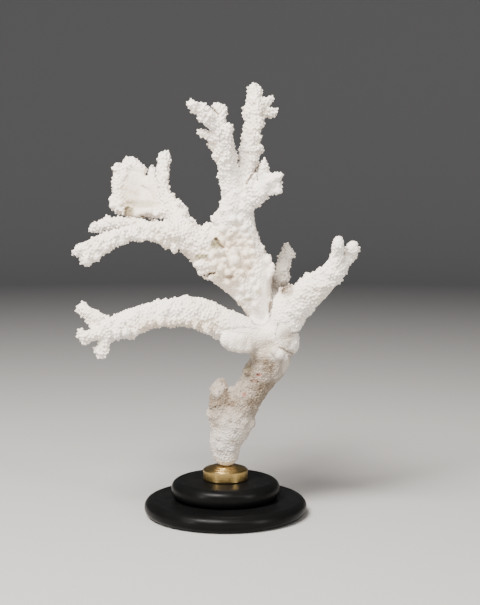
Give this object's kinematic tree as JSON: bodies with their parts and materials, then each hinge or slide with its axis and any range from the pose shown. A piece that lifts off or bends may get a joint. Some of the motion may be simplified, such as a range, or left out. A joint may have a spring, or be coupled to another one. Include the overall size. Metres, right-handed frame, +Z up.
{
  "type": "branching coral skeleton on a display base",
  "caption": "Bleached branching coral skeleton with knobbly arms, held upright by a brass collar on a round two-tier black base, for display on a shelf or table.",
  "frame": {"origin": "centre of the base's flat underside", "axes": "+Z up, along the height; the front of the piece faces -Y and +X is to the viewer's right"},
  "size_m": [0.2406, 0.14, 0.37],
  "materials": {
    "black_lacquer": "black satin lacquer on turned wood",
    "turned_brass": "turned satin brass with fine lathe rings",
    "pin_steel": "drawn rod",
    "coral_bone": "matt bleached coral, close corallites",
    "coral_worn": "matt worn coral, finely pitted, greyish pink"
  },
  "bodies": {
    "root": {"turned_base": "black_lacquer", "brass_collar": "turned_brass", "mounting_pin": "pin_steel", "foot_stem": "coral_worn", "left_arm": "coral_bone", "trunk": "coral_bone", "right_arm": "coral_bone", "rear_branch": "coral_bone", "upper_left_arm": "coral_bone", "fan": "coral_bone", "top_left_branch": "coral_bone", "top_right_branch": "coral_bone"}
  },
  "joints": []
}
